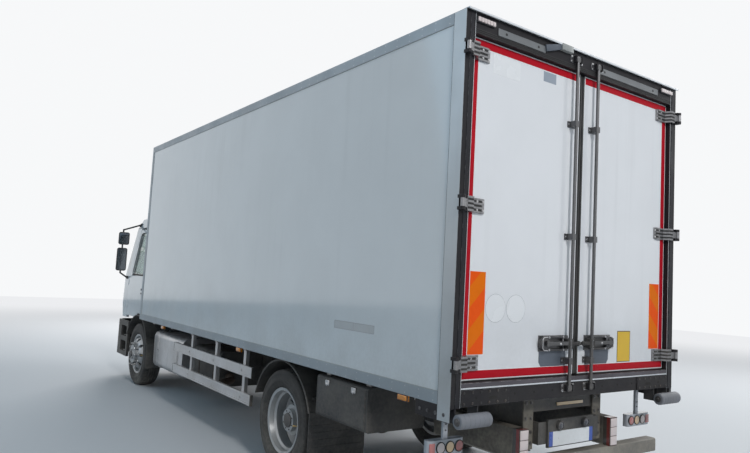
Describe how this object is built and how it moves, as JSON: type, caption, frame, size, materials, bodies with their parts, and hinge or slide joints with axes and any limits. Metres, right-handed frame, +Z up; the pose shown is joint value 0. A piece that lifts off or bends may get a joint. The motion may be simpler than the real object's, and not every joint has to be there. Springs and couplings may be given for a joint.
{
  "type": "refrigerated truck",
  "caption": "Two-axle rigid truck with a tilting day cab and an insulated box body, double rear doors and a fridge unit on its nose.",
  "frame": {"origin": "on the ground under the middle of the truck's bounding box", "axes": "+X to the truck's left, +Y to its rear, +Z up"},
  "size_m": [2.74, 8.8999, 3.705],
  "materials": {
    "chassis_paint": "satin black, dusty",
    "aluminium": "mill, dulled",
    "black_plastic": "matt, weathered",
    "galvanised_steel": "galvanised, dulled",
    "white_panel": "smooth gloss gel coat",
    "grey_frame": "semi-gloss dark grey",
    "buffer_rubber": "pale grey, worn",
    "lamp_lens": "clear moulded lens",
    "white_paint": "gloss white",
    "glass": "clear, lightly tinted",
    "seat_cloth": "woven dark grey cloth",
    "tyre": "black, dusty",
    "wheel_steel": "silver paint, dusty"
  },
  "bodies": {
    "chassis": {"chassis_rails": "chassis_paint", "crossmembers": "chassis_paint", "front_axle": "chassis_paint", "leaf_springs": "chassis_paint", "rear_axle": "chassis_paint", "propeller_shaft": "chassis_paint", "engine_block": "chassis_paint", "tanks": "aluminium", "chassis_boxes": "black_plastic", "side_guards": "aluminium", "mudguards": "black_plastic", "box_floor": "galvanised_steel", "box_side_walls": "white_panel", "box_roof": "white_panel", "box_bulkhead": "white_panel", "body_rails": "aluminium", "rear_posts": "grey_frame", "rear_header": "grey_frame", "rear_sill": "grey_frame", "dock_buffers": "buffer_rubber", "underrun_bar": "galvanised_steel", "plate_carrier": "black_plastic", "front_bumper": "black_plastic", "lamps": "lamp_lens", "fridge_unit": "white_paint", "fridge_grille": "black_plastic", "evaporator": "white_paint"},
    "cab": {"cab_roof": "white_paint", "cab_rear_wall": "white_paint", "cab_pillars": "white_paint", "cab_front": "white_paint", "windscreen": "glass", "cab_floor": "grey_frame", "dashboard": "black_plastic", "seats": "seat_cloth", "mirrors": "black_plastic"},
    "door_left": {"cab_door_left": "white_paint", "door_glass_left": "glass"},
    "door_right": {"cab_door_right": "white_paint", "door_glass_right": "glass"},
    "leaf_left": {"rear_door_left": "white_panel", "door_fittings_left": "galvanised_steel"},
    "leaf_right": {"rear_door_right": "white_panel", "door_fittings_right": "galvanised_steel"},
    "steering_left": {"knuckle_left": "chassis_paint"},
    "steering_right": {"knuckle_right": "chassis_paint"},
    "track_rod": {"tie_rod": "chassis_paint"},
    "wheel_front_left": {"front_tyre_left": "tyre", "front_wheel_left": "wheel_steel"},
    "wheel_front_right": {"front_tyre_right": "tyre", "front_wheel_right": "wheel_steel"},
    "wheels_rear_left": {"rear_tyres_left": "tyre", "rear_wheels_left": "wheel_steel"},
    "wheels_rear_right": {"rear_tyres_right": "tyre", "rear_wheels_right": "wheel_steel"}
  },
  "joints": [
    {"name": "cab_tilt", "type": "hinge", "parent": "chassis", "child": "cab", "pos_m": [0, -4.3, 0.72], "axis": [1, 0, 0], "range_deg": [0, 50]},
    {"name": "cab_door_left_hinge", "type": "hinge", "parent": "cab", "child": "door_left", "pos_m": [1.146, -3.953, 1.4], "axis": [0, 0, -1], "range_deg": [0, 70]},
    {"name": "cab_door_right_hinge", "type": "hinge", "parent": "cab", "child": "door_right", "pos_m": [-1.146, -3.953, 1.4], "axis": [0, 0, 1], "range_deg": [0, 70]},
    {"name": "rear_door_left_hinge", "type": "hinge", "parent": "chassis", "child": "leaf_left", "pos_m": [1.3, 4.386, 2.3], "axis": [0, 0, -1], "range_deg": [0, 270]},
    {"name": "rear_door_right_hinge", "type": "hinge", "parent": "chassis", "child": "leaf_right", "pos_m": [-1.3, 4.386, 2.3], "axis": [0, 0, 1], "range_deg": [0, 270]},
    {"name": "steer_left", "type": "hinge", "parent": "chassis", "child": "steering_left", "pos_m": [0.86, -3.1, 0.479], "axis": [0, 0, 1], "range_deg": [-35, 35]},
    {"name": "steer_right", "type": "hinge", "parent": "chassis", "child": "steering_right", "pos_m": [-0.86, -3.1, 0.479], "axis": [0, 0, 1], "range_deg": [-35, 35]},
    {"name": "track_rod_pivot", "type": "hinge", "parent": "steering_left", "child": "track_rod", "pos_m": [0.86, -2.86, 0.416], "axis": [0, 0, 1], "range_deg": [-35, 35]},
    {"name": "front_left_spin", "type": "hinge", "parent": "steering_left", "child": "wheel_front_left", "pos_m": [1.03, -3.1, 0.479], "axis": [1, 0, 0], "continuous": true},
    {"name": "front_right_spin", "type": "hinge", "parent": "steering_right", "child": "wheel_front_right", "pos_m": [-1.03, -3.1, 0.479], "axis": [1, 0, 0], "continuous": true},
    {"name": "rear_left_spin", "type": "hinge", "parent": "chassis", "child": "wheels_rear_left", "pos_m": [0.9375, 1.95, 0.479], "axis": [1, 0, 0], "continuous": true},
    {"name": "rear_right_spin", "type": "hinge", "parent": "chassis", "child": "wheels_rear_right", "pos_m": [-0.9375, 1.95, 0.479], "axis": [1, 0, 0], "continuous": true}
  ],
  "couplings": [
    {"joint": "steer_right", "follows": "steer_left", "ratio": 1},
    {"joint": "track_rod_pivot", "follows": "steer_left", "ratio": -1}
  ]
}
